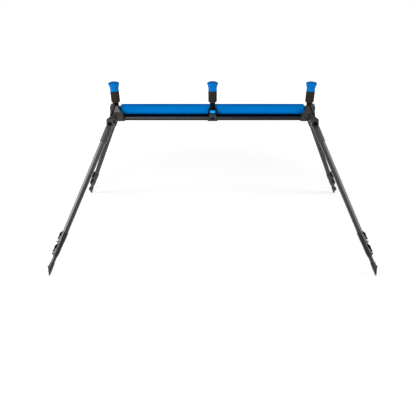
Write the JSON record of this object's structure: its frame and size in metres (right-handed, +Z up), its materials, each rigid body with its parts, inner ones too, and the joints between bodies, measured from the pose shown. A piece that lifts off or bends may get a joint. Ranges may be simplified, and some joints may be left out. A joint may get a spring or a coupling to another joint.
{
  "type": "pole roller",
  "caption": "Free-standing fishing pole roller: two foam rollers over a flat beam, upright guide posts with flared caps, and folding telescopic legs with cam lever clamps.",
  "frame": {"origin": "middle of the footprint, on the ground under the four feet", "axes": "+X along the rollers, -Y the front that carries the uprights, +Z up"},
  "size_m": [1.1468, 0.6092, 0.5989],
  "materials": {
    "roller_foam": "satin closed-cell foam",
    "sleeve_foam": "matte black foam",
    "cap_rubber": "satin moulded rubber",
    "button_plastic": "gloss moulded plastic",
    "black_plastic": "satin moulded plastic",
    "grey_casting": "satin glass-filled nylon",
    "leg_aluminium": "satin gunmetal anodised",
    "beam_aluminium": "gloss black anodised",
    "steel": "brushed"
  },
  "bodies": {
    "frame": {"beam": "beam_aluminium", "centre_bracket": "grey_casting", "centre_post_housing": "black_plastic", "roller_axle": "steel", "left_end_bracket": "grey_casting", "right_end_bracket": "grey_casting", "left_post_pin": "steel", "right_post_pin": "steel"},
    "left_roller": {"left_roller_foam": "roller_foam", "left_roller_tube": "beam_aluminium"},
    "right_roller": {"right_roller_foam": "roller_foam", "right_roller_tube": "beam_aluminium"},
    "left_post": {"left_post_stalk": "black_plastic", "left_post_sleeve": "sleeve_foam", "left_post_cap": "cap_rubber"},
    "centre_post": {"centre_post_stalk": "black_plastic", "centre_post_sleeve": "sleeve_foam", "centre_post_cap": "cap_rubber"},
    "right_post": {"right_post_stalk": "black_plastic", "right_post_sleeve": "sleeve_foam", "right_post_cap": "cap_rubber"},
    "left_button": {"left_post_button": "button_plastic"},
    "centre_button": {"centre_post_button": "button_plastic"},
    "right_button": {"right_post_button": "button_plastic"},
    "front_left_leg": {"front_left_leg_socket": "grey_casting", "front_left_outer_tube": "leg_aluminium", "front_left_upper_clamp": "grey_casting"},
    "front_left_middle": {"front_left_middle_tube": "leg_aluminium", "front_left_lower_clamp": "grey_casting"},
    "front_left_inner": {"front_left_inner_tube": "leg_aluminium", "front_left_foot": "black_plastic"},
    "front_left_upper_lever": {"front_left_upper_lever": "black_plastic"},
    "front_left_lower_lever": {"front_left_lower_lever": "black_plastic"},
    "front_right_leg": {"front_right_leg_socket": "grey_casting", "front_right_outer_tube": "leg_aluminium", "front_right_upper_clamp": "grey_casting"},
    "front_right_middle": {"front_right_middle_tube": "leg_aluminium", "front_right_lower_clamp": "grey_casting"},
    "front_right_inner": {"front_right_inner_tube": "leg_aluminium", "front_right_foot": "black_plastic"},
    "front_right_upper_lever": {"front_right_upper_lever": "black_plastic"},
    "front_right_lower_lever": {"front_right_lower_lever": "black_plastic"},
    "rear_left_leg": {"rear_left_leg_socket": "grey_casting", "rear_left_outer_tube": "leg_aluminium", "rear_left_upper_clamp": "grey_casting"},
    "rear_left_middle": {"rear_left_middle_tube": "leg_aluminium", "rear_left_lower_clamp": "grey_casting"},
    "rear_left_inner": {"rear_left_inner_tube": "leg_aluminium", "rear_left_foot": "black_plastic"},
    "rear_left_upper_lever": {"rear_left_upper_lever": "black_plastic"},
    "rear_left_lower_lever": {"rear_left_lower_lever": "black_plastic"},
    "rear_right_leg": {"rear_right_leg_socket": "grey_casting", "rear_right_outer_tube": "leg_aluminium", "rear_right_upper_clamp": "grey_casting"},
    "rear_right_middle": {"rear_right_middle_tube": "leg_aluminium", "rear_right_lower_clamp": "grey_casting"},
    "rear_right_inner": {"rear_right_inner_tube": "leg_aluminium", "rear_right_foot": "black_plastic"},
    "rear_right_upper_lever": {"rear_right_upper_lever": "black_plastic"},
    "rear_right_lower_lever": {"rear_right_lower_lever": "black_plastic"}
  },
  "joints": [
    {"name": "left_roller_spin", "type": "hinge", "parent": "frame", "child": "left_roller", "pos_m": [0, 0, 0.4969], "axis": [1, 0, 0], "continuous": true},
    {"name": "right_roller_spin", "type": "hinge", "parent": "frame", "child": "right_roller", "pos_m": [0, 0, 0.4969], "axis": [1, 0, 0], "continuous": true},
    {"name": "left_post_tilt", "type": "hinge", "parent": "frame", "child": "left_post", "pos_m": [-0.329, -0.028, 0.4899], "axis": [0, 1, 0], "range_deg": [0, 25]},
    {"name": "right_post_tilt", "type": "hinge", "parent": "frame", "child": "right_post", "pos_m": [0.329, -0.028, 0.4899], "axis": [0, -1, 0], "range_deg": [0, 25]},
    {"name": "centre_post_lift", "type": "slide", "parent": "frame", "child": "centre_post", "axis": [0, 0, 1], "range_m": [0, 0.014]},
    {"name": "left_button_press", "type": "slide", "parent": "frame", "child": "left_button", "axis": [0.7071, 0, -0.7071], "range_m": [0, 0.003], "stiffness_N_per_m": 300},
    {"name": "centre_button_press", "type": "slide", "parent": "frame", "child": "centre_button", "axis": [0, 1, 0], "range_m": [0, 0.003], "stiffness_N_per_m": 300},
    {"name": "right_button_press", "type": "slide", "parent": "frame", "child": "right_button", "axis": [-0.7071, 0, -0.7071], "range_m": [0, 0.003], "stiffness_N_per_m": 300},
    {"name": "front_left_leg_fold", "type": "hinge", "parent": "frame", "child": "front_left_leg", "pos_m": [-0.3486, -0.0617, 0.4622], "axis": [0, 0.8878, -0.4602], "range_deg": [-113.6, 0]},
    {"name": "front_left_middle_slide", "type": "slide", "parent": "front_left_leg", "child": "front_left_middle", "axis": [-0.4003, -0.4217, -0.8136], "range_m": [0, 0.2]},
    {"name": "front_left_inner_slide", "type": "slide", "parent": "front_left_middle", "child": "front_left_inner", "axis": [-0.4003, -0.4217, -0.8136], "range_m": [0, 0.2]},
    {"name": "front_left_upper_lever_open", "type": "hinge", "parent": "front_left_leg", "child": "front_left_upper_lever", "pos_m": [-0.52597, -0.23395, 0.1299], "axis": [0, 0.8878, -0.4602], "range_deg": [0, 110]},
    {"name": "front_left_lower_lever_open", "type": "hinge", "parent": "front_left_middle", "child": "front_left_lower_lever", "pos_m": [-0.54378, -0.25397, 0.09127], "axis": [0, 0.8878, -0.4602], "range_deg": [0, 110]},
    {"name": "front_right_leg_fold", "type": "hinge", "parent": "frame", "child": "front_right_leg", "pos_m": [0.3486, -0.0617, 0.4622], "axis": [0, -0.8878, 0.4602], "range_deg": [-100, 0]},
    {"name": "front_right_middle_slide", "type": "slide", "parent": "front_right_leg", "child": "front_right_middle", "axis": [0.4003, -0.4217, -0.8136], "range_m": [0, 0.2]},
    {"name": "front_right_inner_slide", "type": "slide", "parent": "front_right_middle", "child": "front_right_inner", "axis": [0.4003, -0.4217, -0.8136], "range_m": [0, 0.2]},
    {"name": "front_right_upper_lever_open", "type": "hinge", "parent": "front_right_leg", "child": "front_right_upper_lever", "pos_m": [0.52597, -0.23395, 0.1299], "axis": [0, -0.8878, 0.4602], "range_deg": [0, 110]},
    {"name": "front_right_lower_lever_open", "type": "hinge", "parent": "front_right_middle", "child": "front_right_lower_lever", "pos_m": [0.54378, -0.25397, 0.09127], "axis": [0, -0.8878, 0.4602], "range_deg": [0, 110]},
    {"name": "rear_left_leg_fold", "type": "hinge", "parent": "frame", "child": "rear_left_leg", "pos_m": [-0.3486, 0.0617, 0.4622], "axis": [0, 0.8878, 0.4602], "range_deg": [-113.6, 0]},
    {"name": "rear_left_middle_slide", "type": "slide", "parent": "rear_left_leg", "child": "rear_left_middle", "axis": [-0.4003, 0.4217, -0.8136], "range_m": [0, 0.2]},
    {"name": "rear_left_inner_slide", "type": "slide", "parent": "rear_left_middle", "child": "rear_left_inner", "axis": [-0.4003, 0.4217, -0.8136], "range_m": [0, 0.2]},
    {"name": "rear_left_upper_lever_open", "type": "hinge", "parent": "rear_left_leg", "child": "rear_left_upper_lever", "pos_m": [-0.52597, 0.23395, 0.1299], "axis": [0, 0.8878, 0.4602], "range_deg": [0, 110]},
    {"name": "rear_left_lower_lever_open", "type": "hinge", "parent": "rear_left_middle", "child": "rear_left_lower_lever", "pos_m": [-0.54378, 0.25397, 0.09127], "axis": [0, 0.8878, 0.4602], "range_deg": [0, 110]},
    {"name": "rear_right_leg_fold", "type": "hinge", "parent": "frame", "child": "rear_right_leg", "pos_m": [0.3486, 0.0617, 0.4622], "axis": [0, -0.8878, -0.4602], "range_deg": [-100, 0]},
    {"name": "rear_right_middle_slide", "type": "slide", "parent": "rear_right_leg", "child": "rear_right_middle", "axis": [0.4003, 0.4217, -0.8136], "range_m": [0, 0.2]},
    {"name": "rear_right_inner_slide", "type": "slide", "parent": "rear_right_middle", "child": "rear_right_inner", "axis": [0.4003, 0.4217, -0.8136], "range_m": [0, 0.2]},
    {"name": "rear_right_upper_lever_open", "type": "hinge", "parent": "rear_right_leg", "child": "rear_right_upper_lever", "pos_m": [0.52597, 0.23395, 0.1299], "axis": [0, -0.8878, -0.4602], "range_deg": [0, 110]},
    {"name": "rear_right_lower_lever_open", "type": "hinge", "parent": "rear_right_middle", "child": "rear_right_lower_lever", "pos_m": [0.54378, 0.25397, 0.09127], "axis": [0, -0.8878, -0.4602], "range_deg": [0, 110]}
  ]
}
